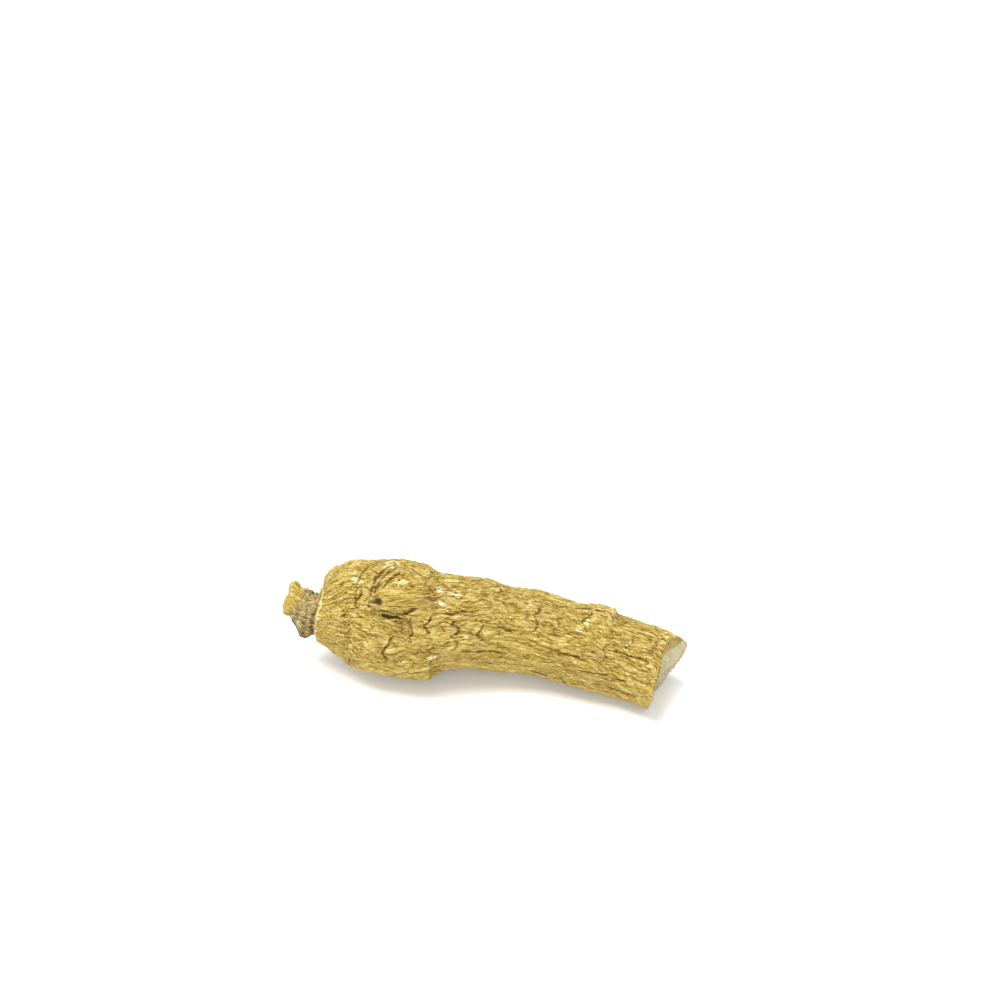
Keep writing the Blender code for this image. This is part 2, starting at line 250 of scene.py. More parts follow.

# Lines: how strongly a groove shows for its depth, as a line of painted shade and as the painted highlight on
# the lip beside it, and how far off the lip lies. A line runs through so many stops, and wanders this far
# with so many radians of bend.
GROOVE_SHOWS, LIP_SHOWS, LIP_OFF = 2.5, 1.1, 0.35
LINE_STOPS, LINE_WANDER, LINE_BENDS = 5, 0.5, 3.0
GROOVE_TOP = 0.7  # no groove shows more strongly than this
# Cracks along the root: from and to (distance, angle in degrees), depth
SPLITS = [
    ((17.2, 47), (20.2, 45), 0.5),
    ((34.6, 41), (37.4, 40), 0.25),
    ((55.0, 50), (61.5, 52), 0.25),
    ((29.0, 8), (37.0, 3), 0.25),
    ((42.0, 30), (50.0, 24), 0.22),
    ((50.0, 8), (58.0, 12), 0.22),
    ((52.0, -14), (60.5, -10), 0.25),
    ((12.5, 26), (17.0, 22), 0.2),
    ((9.0, 40), (13.5, 38), 0.2),
    ((25.0, 55), (30.0, 58), 0.2),
    ((44.0, 95), (52.0, 100), 0.25),
    ((26.0, 110), (33.0, 115), 0.25),
    ((22.0, -20), (31.0, -24), 0.25),
    ((36.0, -30), (46.0, -26), 0.25),
    ((20.0, 150), (26.0, 156), 0.15),
    ((40.0, 190), (47.0, 184), 0.15),
    ((12.0, 210), (18.0, 216), 0.18),
    ((30.0, 240), (38.0, 246), 0.15),
    ((48.0, 280), (58.0, 286), 0.25),
]
SPLIT_SHOWS, SPLIT_BEND = 2.7, 1.6  # strength of a crack's painted shade for its depth, how far it bends, in degrees
# Arcs of painted shade in the creases of the bark round the side root: distance from its middle, strength;
# where they lie, degrees round it
ARCS = [(4.1, 0.8), (5.3, 0.6), (6.1, 0.8), (8.6, 0.6)]
ARC_SIDE, ARC_REACH = 158, 36
ROOT_RADIUS = 8.0  # the root is about this thick at the side root
# The side root's edge: its share of the stub, then the strength and the degrees round it of the side painted
# with highlight and of the side painted with shadow
EDGE_SHARE = 0.8
EDGE_HIGHLIGHT, EDGE_SHADOW = (0.8, 90, 190), (0.9, 215, 330)
# Rims: distance, strength, which way round the middle lies, and how far they reach, in degrees. The pale rims
# at the collar and the cut are painted highlights, and the dark rim under the collar is painted shade.
HIGHLIGHT_RIMS = [(COLLAR_AT + 0.45, 0.7, 60, 120), (CUT_AT - 0.05, 0.45, 60, 175)]
SHADE_RIMS = [(COLLAR_AT - 0.15, 0.6, 40, 100)]
RIM_STOPS = 15

LINE_REACH, NECK_LINE_REACH = 0.30, 0.20  # a line's half width, in millimetres
LINE_SHAKE, SHAKE_GRAIN = 0.24, (0.9, 0.9, 90)  # how far a line is shaken; length, width and seed of that
DARK_DEPTH, PALE_RISE = 0.40, 0.16  # the relief on a line
# Torn fibres that fan out from under the side root: middle, reach, height, strands in a radian
FAN_MIDDLE, FAN_REACH, FAN_HEIGHT, FAN_STRANDS = (20.6, 46), 2.3, 0.30, 3.6
HOLLOW_SHADE_SPOT = (*STUBS["side_root"][0], 0.7, 4.5, 1.4)  # the painted shade in the hollow of the side root's end, as a spot

# Soft spots of other colours: distance, degrees, length, width in degrees, strength
STAINS = [
    (4.3, -50, 0.9, 14, 1.5),
    (4.0, -10, 1.6, 40, 0.9),
    (2.9, 112, 0.5, 14, 0.9),
    (24.7, 71, 1.3, 10, 1.0),
    (24.0, 83, 1.0, 8, 0.7),
    (20.8, 37, 1.6, 10, 0.9),
    (19.9, 45, 1.2, 8, 0.7),
    (15.2, 76, 1.2, 14, 0.7),
    (61.3, 69, 0.7, 7, 1.2),
    (28.2, 39, 0.6, 5, 0.9),
    (32.0, 79, 0.7, 6, 0.7),
    (23.0, 16, 0.7, 6, 0.8),
    (36.5, 43, 0.5, 4, 0.7),
    (10.5, 60, 1.0, 8, 0.4),
    (33.0, 200, 2.0, 16, 0.9),
    (45.0, 236, 1.6, 14, 0.8),
    (14.0, 240, 3.0, 20, 0.6),
]
# Pale scars, and painted highlights where they lie on crests: distance, degrees, length, width in degrees,
# strength
SCARS_AND_HIGHLIGHTS = [
    (11.8, 82, 1.0, 9, 1.2),
    (28.1, 83, 1.1, 6, 1.3),
    (26.1, 89, 1.0, 6, 1.3),
    (26.4, 67, 0.5, 4, 1.2),
    (29.5, 25, 0.5, 4, 1.3),
    (24.6, 3, 0.7, 6, 1.1),
    (39.3, 78, 0.4, 4, 1.3),
    (41.3, 62, 0.3, 4, 1.0),
    (48.7, 73, 0.4, 5, 1.3),
    (48.0, 62, 1.2, 4, 0.9),
    (56.8, 63, 0.5, 6, 1.2),
    (58.1, 8, 0.7, 4, 1.0),
    (61.8, 86, 0.8, 5, 1.2),
    (53.0, 90, 0.5, 8, 1.1),
    (16.5, 108, 1.6, 8, 1.2),
    (20.0, 60, 1.0, 6, 0.7),
]
NECK_HEAD = 2.7  # the neck is smooth and ochre up to here
NECK_BLEND = 0.4  # one kind of bark turns into the next over this length
PLATES_SHARE = 0.7  # how much of the CAD model's neck plates stand out here
NECK_ROUGH = (0.16, 0.8, 0.9, 67)  # the neck's lumps: height, length, width, seed
CUT_RINGS = (0.16, 0.9, 1.6, 99)  # the cut face's fibres: height, width, waves round it, seed
CUT_RAGGED, RAGGED_SEED = 0.9, 97  # how ragged the bark's folded edge is
CUT_TOP = (2.9, 0.9)  # the bark folds over the cut face from this height up, and how soft its edge is
SPREAD = 30  # how many times the relief is averaged with its neighbours to find what lies low, for painted shade, and high, for painted highlight
RELIEF_SPAN = 0.35  # relief of this many millimetres has the full painted highlight of a crest or the full painted shade of a furrow

# The material's noises: swells to a millimetre along, round and round the root, detail, roughness, distortion
WIGGLE = ((0.9, 2.6, 2.6), 3.0, 0.6, 0.0)
SMALL_FOLDS = ((0.45, 1.9, 1.9), 3.0, 0.55, 0.7)
FIBRE = ((1.5, 4.8, 4.8), 2.0, 0.6, 0.6)
SPECK = ((1.1, 2.6, 2.6), 3.0, 0.6, 0.0)
BROAD = ((0.12, 0.22, 0.22), 3.0, 0.6, 0.0)
# painted highlight flecks on the crests
HIGHLIGHT_FLECK = ((1.6, 4.0, 4.0), 3.0, 0.65, 0.0)
# The bark's level, from painted shade in a furrow to painted highlight on a crest, with random tone: what
# each thing adds, and what is added to or taken off with it
RELIEF_ADDS, LEVEL_START = 0.27, 0.17
FOLD_ADDS, FOLD_EDGE = 0.18, 0.14
SMALL_ADDS, SMALL_EDGE = 0.25, 0.28
WIGGLE_ADDS, WIGGLE_OFF = 0.34, 0.21
FIBRE_ADDS, FIBRE_OFF = 1.15, 0.57
SPECULAR = 0.12

# Colours, linear: the bark from painted shade in its furrows to painted highlights on its crests, the neck's
# likewise, the cut face's from dark to light, with painted shade in its hollows
BARK_SHADE_TO_HIGHLIGHT = [
    (0.0, (0.08, 0.04, 0.005, 1)),
    (0.2, (0.20, 0.12, 0.014, 1)),
    (0.5, (0.365, 0.265, 0.050, 1)),
    (0.75, (0.49, 0.385, 0.125, 1)),
    (1.0, (0.68, 0.58, 0.30, 1)),
]
NECK_SHADE_TO_HIGHLIGHT = [
    (0.0, (0.03, 0.018, 0.008, 1)),
    (0.3, (0.15, 0.098, 0.028, 1)),
    (0.55, (0.29, 0.218, 0.078, 1)),
    (0.8, (0.43, 0.345, 0.15, 1)),
    (1.0, (0.68, 0.58, 0.36, 1)),
]
FLESH_SHADE_TO_LIGHT = [(0.1, (0.24, 0.20, 0.10, 1)), (0.5, (0.50, 0.44, 0.26, 1)), (0.9, (0.74, 0.68, 0.47, 1))]
STAIN = (0.55, 0.46, 0.50, 1)
# The brown of the painted shade in the side root's hollow
HOLLOW_SHADE_BROWN = (0.055, 0.026, 0.010, 1)
# The brown of painted shade in grooves and cracks, and of painted shadow under the side root and the collar
SHADE_BROWN = (0.085, 0.042, 0.005, 1)
GREYER = (0.88, 0.84, 0.95, 1)
# The cream of pale scars, and of painted highlights on crests, lips, edges and rims
CREAM_AND_HIGHLIGHT = (0.76, 0.67, 0.38, 1)
FLOOR_WHITE = 0.95
BUMP = 0.18  # the finest relief, in millimetres

# Light: strength of the white surroundings; soft lamps: name, place, size, power
WORLD_LIGHT = 0.78
SOFTBOXES = [("key", (-0.25, 0.05, 0.8), 0.6, 12.0), ("fill", (0.1, -0.7, 0.3), 0.6, 3.0)]

# The camera: turn and rise in degrees, distance in metres, and where the root's middle shows, in pixels
CAMERA_TURN, CAMERA_RISE, CAMERA_AWAY = 10.4, 40.0, 0.40
IMAGE, SENSOR = 1000, 36.0
PIXELS_TO_METRE = 6200
ROOT_PIXEL = (483.0, 632.2)
ROOT_MIDDLE = 0.0085
DIRECTIONS = np.random.default_rng(7).normal(size=(64, 3))
DIRECTIONS /= np.linalg.norm(DIRECTIONS, axis=1, keepdims=True)


def ease(x):
    """0 below 0, 1 above 1, and a smooth rise between."""
    x = np.clip(x, 0.0, 1.0)
    return x * x * (3 - 2 * x)


def through(stops, at):
    """The smooth curve through stops, whose first column is the distance, read at the distances at."""
    key, value = stops[:, 0], stops[:, 1:]
    slope = np.gradient(value, key, axis=0)
    index = np.clip(np.searchsorted(key, at) - 1, 0, len(key) - 2)
    span = (key[index + 1] - key[index])[..., None]
    t = (at - key[index])[..., None] / span
    rise = 3 * t**2 - 2 * t**3
    lead = t * (1 - t) ** 2 * span
    trail = -(t**2) * (1 - t) * span
    level = value[index] * (1 - rise) + value[index + 1] * rise
    return level + slope[index] * lead + slope[index + 1] * trail


def noise(points, seed):
    """Smooth noise, about -1 to 1, with one swell to each unit of length."""
    cell = np.floor(points).astype(np.int64)
    part = points - cell
    fade = part**3 * (part * (part * 6 - 15) + 10)
    total = np.zeros(points.shape[:-1])
    for corner in np.ndindex(2, 2, 2):
        x, y, z = np.moveaxis(cell + corner, -1, 0)
        key = (x * 374761393 + y * 668265263 + z * 1440662683 + seed * 1274126177) & 0xFFFFFFFF
        key = ((key ^ (key >> 13)) * 1274126177) & 0xFFFFFFFF
        slope = DIRECTIONS[(key ^ (key >> 16)) % len(DIRECTIONS)]
        weight = np.where(corner, fade, 1 - fade).prod(-1)
        total += weight * ((part - corner) * slope).sum(-1)
    return 1.7 * total


def grain(along, angle, length, width, seed):
    """Noise laid on the skin, drawn out to length along the root and width round it."""
    turn = NOISE_RADIUS / width
    return noise(np.stack([along / length, turn * np.cos(angle), turn * np.sin(angle)], -1), seed)


def turn_from(angle, degrees):
    """The angle from a line at so many degrees, from -pi to pi."""
    return (angle - math.radians(degrees) + math.pi) % (2 * math.pi) - math.pi


def packed(high, count, closer):
    """count values from 0 to high, closer together near the places in closer."""
    fine = np.linspace(0, high, 2000)
    crowd = 1 + sum(more * np.exp(-(((fine - middle) / reach) ** 2)) for middle, reach, more in closer)
    share = np.cumsum(crowd)
    share = (share - share[0]) / (share[-1] - share[0])
    return np.interp(np.linspace(0, 1, count), share, fine)


def cover(angle, degrees, reach):
    """1 within reach degrees of a line at so many degrees, and 0 well away from it."""
    return ease(1.6 - np.abs(turn_from(angle, degrees)) / math.radians(0.8 * reach))


def wander(angle, seed):
    """Smooth noise that changes only round the root."""
    return grain(0 * angle, angle, 1, 4.0, seed)


def spots(along, angle, places):
    """The heights of all the broad spots at each point."""
    total = np.zeros(along.shape)
    for at, degrees, long, wide, share in places:
        off = ((along - at) / long) ** 2 + (turn_from(angle, degrees) / math.radians(wide)) ** 2
        total += share * np.exp(-off)
    return total


def skin_layout(rings, columns):
    """Distance along the spine, radius and angle of each point, and 1 where it has the wrinkled skin."""
    steps = np.linalg.norm(np.diff(OUTLINE, axis=0), axis=1)
    travel = np.concatenate([[0], np.cumsum(steps)])
    side = through(np.column_stack([travel, OUTLINE]), packed(travel[-1], rings, CLOSER_ALONG))
    tip = np.column_stack([TIP_RIM[0] + TIP_DISH * (1 - TIP_SHARES**2), TIP_RIM[1] * TIP_SHARES])
    dish = CUT_DISH * ease((1 - FACE_SHARES) / DISH_WIDTH)
    face = np.column_stack([CUT_AT - dish, CUT_RADIUS * FACE_SHARES])
    along, radius = np.concatenate([tip, side, face]).T
    skin = np.concatenate([np.zeros(len(tip)), np.ones(len(side)), np.zeros(len(face))])

    angle = packed(2 * math.pi, columns + 1, CLOSER_ROUND)[:-1]
    along, angle = np.meshgrid(along, angle, indexing="ij")
    radius = np.broadcast_to(radius[:, None], along.shape)
    skin = np.broadcast_to(skin[:, None], along.shape)
    longer = np.interp(np.degrees(angle), *CUT_EDGE.T, period=360) * radius / CUT_RADIUS
    along = along + longer * ease((along - EDGE_FROM) / (CUT_AT - EDGE_FROM))
    return along, radius, angle, skin


def on_spine(along, radius, angle):
    """Points of a plain tube of that radius round the spine."""
    middle = through(SPINE, along)
    ahead = through(SPINE, along + NEAR) - through(SPINE, along - NEAR)
    ahead /= np.linalg.norm(ahead, axis=-1, keepdims=True)
    front = np.cross(ahead, (0, 0, 1))
    front /= np.linalg.norm(front, axis=-1, keepdims=True)
    up = np.cross(front, ahead)
    out = front * np.cos(angle)[..., None] + up * np.sin(angle)[..., None]
    return middle + radius[..., None] * out


def axes_on(points):
    """Unit vectors out of the skin, along it towards the tail, and round it."""
    along = np.gradient(points, axis=0)
    ringed = np.concatenate([points[:, -1:], points, points[:, :1]], axis=1)
    around = (ringed[:, 2:] - ringed[:, :-2]) / 2
    out = np.cross(along, around)
    return [v / np.linalg.norm(v, axis=-1, keepdims=True).clip(1e-9) for v in (out, along, around)]


def section(along, angle):
    """The radius as a share of a round root's."""
    lobes = sum(share * np.cos(n * angle + twist * along + turn) for share, n, twist, turn in SECTION)
    corners = sum(share * cover(angle, degrees, reach) for degrees, reach, share in CUT_CORNERS)
    near_cut = ease((along - EDGE_FROM) / (CUT_AT - EDGE_FROM))
    return 1 + lobes * ease((along - COLLAR_AT) / COLLAR_FADE) + corners * near_cut


def wrinkles(along, angle):
    """Lumps, and long ridges with sharp valleys between them."""
    height = sum(h * grain(along, angle, length, width, seed) for h, length, width, seed in LUMPS)
    swayed = angle + RIDGE_SWAY * grain(along, angle, 6.0, 6.0, 21)
    crest = np.abs(grain(along, swayed, RIDGE_LENGTH, RIDGE_WIDTH, 22)) ** RIDGE_SHARPNESS
    strength = 0.65 + 0.5 * grain(along, angle, 9.0, 8.0, 23)
    return height + RIDGE_HEIGHT * strength * (crest - RIDGE_LEVEL)


def neck_plates(along, angle):
    """Thin ragged plates round the neck, with deep gaps between them."""
    ragged = PLATE_WANDER * grain(along, angle, 30, 5.0, 31)
    placed = along + ragged + PLATE_TILT * np.sin(angle + PLATE_TURN)
    height = sum(h * np.exp(-(((placed - at) / PLATE_WIDTH) ** 2)) for at, h in NECK_PLATES)
    return height * (0.75 + 0.6 * grain(along, angle, 2.5, 3.5, 32))


def slabs(along, angle):
    """Stretches of thicker bark, each ending in a step towards the tail."""
    total = np.zeros(along.shape)
    for seed, (start, end, degrees, reach, height) in enumerate(SLABS):
        edge = end + STEP_WANDER * wander(angle, 70 + seed)
        rise = ease(SLAB_RISE * (along - start) / (end - start))
        drop = ease((edge - along) / STEP_LENGTH + 0.5)
        total += height * cover(angle, degrees, reach) * rise * drop
    return total


def add_stub(points, axes, along, radius, angle, place, size, point, blunt, dip):
    """Draws the skin out into a leaning stub; axes are the plain skin's."""
    at, degrees = place
    away = np.hypot((along - at) / size[0], radius * turn_from(angle, degrees) / size[1])
    rise = np.clip((1 - away) / (1 - blunt), 0, 1) ** 1.15
    rise -= dip / 4 * np.exp(-((away / (0.8 * blunt)) ** 2))
    nearest = np.unravel_index(np.argmin(away), away.shape)
    draw = sum(share * axis[nearest] for share, axis in zip(point, axes))
    points += rise[..., None] * draw


def folds(along, angle):
    """Noise drawn out along the root, whose zeros are the furrows between the folds."""
    swayed = angle + sum(sway * grain(along, angle, *layer) for sway, *layer in CRINKLES)
    short = sum(share * grain(along, swayed, *layer) for share, *layer in FOLDS)
    long = sum(share * grain(along, swayed, *layer) for share, *layer in LONG_FOLDS)
    low = ease((LONG_BELOW - np.degrees(turn_from(angle, 0))) / LONG_FADE)
    return short + (long - short) * low * ease((along - LONG_FROM) / LONG_RISE)


def creases(along, angle):
    """Short creases across the root, where it shrank the most."""
    height, length, width, seed = CREASES
    bent = along + CREASE_SWAY * grain(along, angle, *CREASE_SWAY_GRAIN)
    crest = np.abs(grain(bent, angle, length, width, seed)) ** FOLD_SHARPNESS
    return height * (CREASE_LEVEL + spots(along, angle, CREASE_PLACES)) * (crest - FOLD_LEVEL)


def across(strength, at, degrees, reach, stops=LINE_STOPS):
    """A line across the root, with the places that it wanders through."""
    shares = np.linspace(-1, 1, stops)
    places = at + LINE_WANDER * np.sin(LINE_BENDS * shares + at)
    return strength, *zip(places, degrees + reach * shares)


def crack_line(start, end, depth):
    """A crack along the root, with the places that it bends through."""
    stops = np.linspace(start, end, LINE_STOPS)
    stops[:, 1] += SPLIT_BEND * np.sin(2 * stops[:, 0])
    return SPLIT_SHOWS * depth, *stops


def round_side_root(strength, low, high, reach_along, reach_round):
    """A line round the side root's foot, from low to high degrees, at those distances from its middle."""
    at, degrees = STUBS["side_root"][0]
    ways = np.radians(np.linspace(low, high, LINE_STOPS + 2))
    turns = np.degrees(reach_round * np.sin(ways) / ROOT_RADIUS)
    return strength, *zip(at + reach_along * np.cos(ways), degrees + turns)


def shade_lines():
    """Lines of painted shade in the grooves, the cracks and the arcs round the side root, and painted shadow
    under the side root's edge and under the collar.
    """
    lines = [across(min(GROOVE_SHOWS * depth, GROOVE_TOP), *groove) for *groove, depth in GROOVES]
    lines += [crack_line(*split) for split in SPLITS]
    low, high = ARC_SIDE - ARC_REACH, ARC_SIDE + ARC_REACH
    lines += [round_side_root(strength, low, high, away, away) for away, strength in ARCS]
    lines.append(round_side_root(*EDGE_SHADOW, *side_root_edge()))
    return lines + [across(strength, at, *turned, RIM_STOPS) for at, strength, *turned in SHADE_RIMS]


def highlight_lines():
    """Painted highlights on the lips beside the grooves, the side root's upper edge, and the rims at the
    collar and the cut.
    """
    lines = [across(LIP_SHOWS * depth, at - LIP_OFF, *turned) for at, *turned, depth in GROOVES]
    lines.append(round_side_root(*EDGE_HIGHLIGHT, *side_root_edge()))
    return lines + [across(strength, at, *turned, RIM_STOPS) for at, strength, *turned in HIGHLIGHT_RIMS]


def side_root_edge():
    """How far the side root's edge lies from its middle, along the root and round it."""
    return [EDGE_SHARE * half for half in STUBS["side_root"][1]]


def line_strength(along, radius, angle, lines):
    """How strongly the lines show: in full on a line, less away from it, and 0 at its reach."""
    total = np.zeros(along.shape)
    shake = LINE_SHAKE * grain(along, angle, *SHAKE_GRAIN)
    reach = np.where(along < COLLAR_AT, NECK_LINE_REACH, LINE_REACH)
    for strength, *stops in lines:
        for (start, low), (end, high) in zip(stops, stops[1:]):
            near = (along > min(start, end) - 1) & (along < max(start, end) + 1)
            off = along[near] - start + shake[near]
            turn = radius[near] * turn_from(angle[near], low) + shake[near]
            run, climb = end - start, radius[near] * math.radians(high - low)
            share = ((off * run + turn * climb) / (run**2 + climb**2).clip(1e-6)).clip(0, 1)
            away = np.hypot(off - share * run, turn - share * climb)
            total[near] = np.maximum(total[near], strength * (1 - away / reach[near]))
    return total


def torn_fan(along, radius, angle):
    """Torn fibres that spread from under the side root."""
    at, degrees = FAN_MIDDLE
    off, turn = along - at, radius * turn_from(angle, degrees)
    away = np.hypot(off, turn)
    way = FAN_STRANDS * np.arctan2(turn, off)
    strands = np.abs(noise(np.stack([way, away / 3, 0 * way], -1), 92)) ** 0.7
    below = ease(0.7 - turn / FAN_REACH)
    return FAN_HEIGHT * below * np.exp(-((away / FAN_REACH) ** 2)) * (strands - FOLD_LEVEL)


def rough(along, radius, angle, height, length, width, seed):
    """Lumps of that height, length and width."""
    place = np.stack([along / length, radius * np.cos(angle) / width, radius * np.sin(angle) / width], -1)
    return height * noise(place, seed)


def cut_relief(radius, angle):
    """The cut face's fibres, in uneven rings."""
    height, width, wave, seed = CUT_RINGS
    swayed = radius + 0.5 * noise(np.stack([2 * np.cos(angle), 2 * np.sin(angle), radius / 3], -1), 98)
    return height * noise(np.stack([swayed / width, wave * np.cos(angle), wave * np.sin(angle)], -1), seed)


def averaged(values, times):
    """values, each averaged with its neighbours so many times."""
    for _ in range(times):
        values = (np.roll(values, 1, axis=1) + values + np.roll(values, -1, axis=1)) / 3
        padded = np.concatenate([values[:1], values, values[-1:]])
        values = (padded[:-2] + values + padded[2:]) / 3
    return values


def fine_skin():
    """The dressed skin's points, and the numbers that its colours are taken from."""
    along, radius, angle, skin = skin_layout(RINGS, COLUMNS)
    radius = radius * section(along, angle)
    points = on_spine(along, radius, angle)
    axes = axes_on(points)
    on_body = ease((along - COLLAR_AT) / COLLAR_FADE) * ease((CUT_AT - along) / CUT_FADE + 1)
    face = (along > NOISE_RADIUS) * (skin == 0)
    neck = along < COLLAR_AT
    fold = folds(along, angle)
    # Painted shade along the grooves, cracks and arcs, and painted shadow under the side root and the collar;
    # the same lines are carved into the relief
    shade_line = skin * line_strength(along, radius, angle, shade_lines())
    # Painted highlights along the groove lips, the side root's upper edge and the rims
    highlight_line = skin * line_strength(along, radius, angle, highlight_lines())
    height = slabs(along, angle) + BIG_RIDGES * wrinkles(along, angle) + creases(along, angle)
    height += FOLD_HEIGHT * (np.abs(fold) ** FOLD_SHARPNESS - FOLD_LEVEL) + torn_fan(along, radius, angle)
    lumps = PLATES_SHARE * neck_plates(along, angle) + rough(along, radius, angle, *NECK_ROUGH)
    height = skin * (on_body * height + neck * lumps) + face * cut_relief(radius, angle)
    height += PALE_RISE * highlight_line - DARK_DEPTH * shade_line
    # The relief's highs and lows are kept for painted highlights on the crests and painted shade in the
    # furrows
    shade_and_highlight_relief = height - averaged(height, SPREAD)
    height = (height + skin * spots(along, angle, SWELLS)) * ease(points[..., 2] / REST_FADE)
    points += height[..., None] * axes[0]
    for place, size, point, blunt, dip in STUBS.values():
        add_stub(points, axes, along, radius, angle, place, size, point, blunt, dip)
    points[..., 2] = np.maximum(points[..., 2], 0)
    points[..., :2] -= CAD_MIDDLE
    across_cut, up_cut = radius * np.cos(angle), radius * np.sin(angle)
    ragged = CUT_RAGGED * noise(np.stack([across_cut, up_cut, 0 * radius], -1), RAGGED_SEED)
    folded_over = ease((up_cut + ragged - CUT_TOP[0]) / CUT_TOP[1])
    marks = {
        # painted shade in the furrows and painted highlights on the crests
        "shade_and_highlight_relief": np.clip(shade_and_highlight_relief / RELIEF_SPAN, -1, 1),
        "fold": np.where(neck | face, 1.0, fold),
        # painted shade and shadow along the lines, and painted highlights beside them
        "shade_line": shade_line,
        "highlight_line": highlight_line,
        "stain": spots(along, angle, STAINS),
        "scar_and_highlight": spots(along, angle, SCARS_AND_HIGHLIGHTS),
        # painted shade in the side root's hollow
        "hollow_shade": spots(along, angle, [HOLLOW_SHADE_SPOT]),
        "flesh": face * (1 - folded_over),
        "neck": ease((COLLAR_AT - along) / NECK_BLEND),
        "head": ease((NECK_HEAD - along) / NECK_BLEND),
        "skin": np.stack([along, radius * np.cos(angle), radius * np.sin(angle)], -1),
    }
    return points, marks


def skin_mesh(name, points, marks):
    """A closed mesh of the rings, with a fan at each end, and the marks kept on its points."""
    rings, columns = points.shape[:2]
    grid = np.arange(rings * columns).reshape(rings, columns)
    before = np.roll(grid, 1, axis=1)
    quads = np.stack([before[:-1], before[1:], grid[1:], grid[:-1]], -1).reshape(-1, 4)
    tip, cut = rings * columns, rings * columns + 1
    fans = [(tip, a, b) for a, b in zip(before[0], grid[0])]
    fans += [(cut, b, a) for a, b in zip(before[-1], grid[-1])]

    def spread(values):
        flat = values.reshape(rings * columns, -1)
        ends = [values[0].reshape(columns, -1).mean(axis=0), values[-1].reshape(columns, -1).mean(axis=0)]
        return np.concatenate([flat, ends])

    mesh = bpy.data.meshes.new(name)
    mesh.from_pydata((spread(points) * MM).tolist(), [], quads.tolist() + [tuple(map(int, f)) for f in fans])
    for mark, values in marks.items():
        kind, field = ("FLOAT_VECTOR", "vector") if values.ndim == 3 else ("FLOAT", "value")
        mesh.attributes.new(mark, kind, "POINT").data.foreach_set(field, spread(values).ravel())
    mesh.shade_smooth()
    return mesh


class Tree:
    """A material's nodes, added a few at a time."""

    def __init__(self, name):
        self.material = bpy.data.materials.new(name)
        self.material.use_nodes = True
        self.nodes = self.material.node_tree.nodes
        self.links = self.material.node_tree.links
        self.shader = self.nodes["Principled BSDF"]

    def add(self, kind, inputs=None, **settings):
        """A node; an input given as a socket is linked, and any other is set."""
        node = self.nodes.new("ShaderNode" + kind)
        for key, value in settings.items():
            setattr(node, key, value)
        for key, value in (inputs or {}).items():
            self.feed(node.inputs[key], value)
        return node

    def feed(self, socket, value):
        """Links the socket to value, where that is a socket, or else sets it."""
        if isinstance(value, bpy.types.NodeSocket):
            self.links.new(value, socket)
        else:
            socket.default_value = value

    def mark(self, name):
        """A number kept on the mesh."""
        return self.add("Attribute", attribute_name=name).outputs["Fac"]

    def noise(self, scale, detail, roughness, distortion):
        """Noise laid on the skin, with so many swells to a millimetre along, round and round it."""
        place = self.add("Attribute", attribute_name="skin").outputs["Vector"]
        stretched = self.add("Mapping", {"Vector": place, "Scale": scale}).outputs["Vector"]
        settings = {"Detail": detail, "Roughness": roughness, "Distortion": distortion}
        return self.add("TexNoise", {"Vector": stretched, "Scale": 1.0, **settings}).outputs["Fac"]

    def math(self, operation, a, b=0.5, c=0.5, clamp=False):
        """A sum on numbers or sockets."""
        return self.add("Math", {0: a, 1: b, 2: c}, operation=operation, use_clamp=clamp).outputs[0]

    def between(self, value, low, high):
        """0 where value is low, 1 where it is high, and even between."""
        return self.add("MapRange", {"Value": value, "From Min": low, "From Max": high}).outputs["Result"]

    def mix(self, share, a, b, blend="MIX"):
        """Colour a with that share of colour b."""
        node = self.add("Mix", data_type="RGBA", blend_type=blend)
        for key, value in ((0, share), (6, a), (7, b)):
            self.feed(node.inputs[key], value)
        return node.outputs[2]

    def ramp(self, value, stops):
        """Colours along a scale from 0 to 1."""
        node = self.add("ValToRGB", {"Fac": value})
        elements = node.color_ramp.elements
        while len(elements) < len(stops):
            elements.new(0.5)
        for element, (at, colour) in zip(elements, stops):
            element.position = at
            element.color = colour
        return node.outputs["Color"]


def shade_and_tone_level(tree, wiggle, fibre, small_fold, fold):
    """From 0, painted shade in the deepest furrow, to 1, painted highlight on the sharpest crest."""
    # Painted shade in the furrows and painted highlights on the crests, from the relief and the folds; the
    # noises add random tone
    level = tree.math("MULTIPLY_ADD", tree.mark("shade_and_highlight_relief"), RELIEF_ADDS, LEVEL_START)
    level = tree.math("MULTIPLY_ADD", tree.between(fold, 0.0, FOLD_EDGE), FOLD_ADDS, level)
    level = tree.math("MULTIPLY_ADD", tree.between(small_fold, 0.0, SMALL_EDGE), SMALL_ADDS, level)
    level = tree.math("MULTIPLY_ADD", wiggle, WIGGLE_ADDS, tree.math("SUBTRACT", level, WIGGLE_OFF))
    level = tree.math("SUBTRACT", level, FIBRE_OFF)
    return tree.math("MULTIPLY_ADD", fibre, FIBRE_ADDS, level, clamp=True)


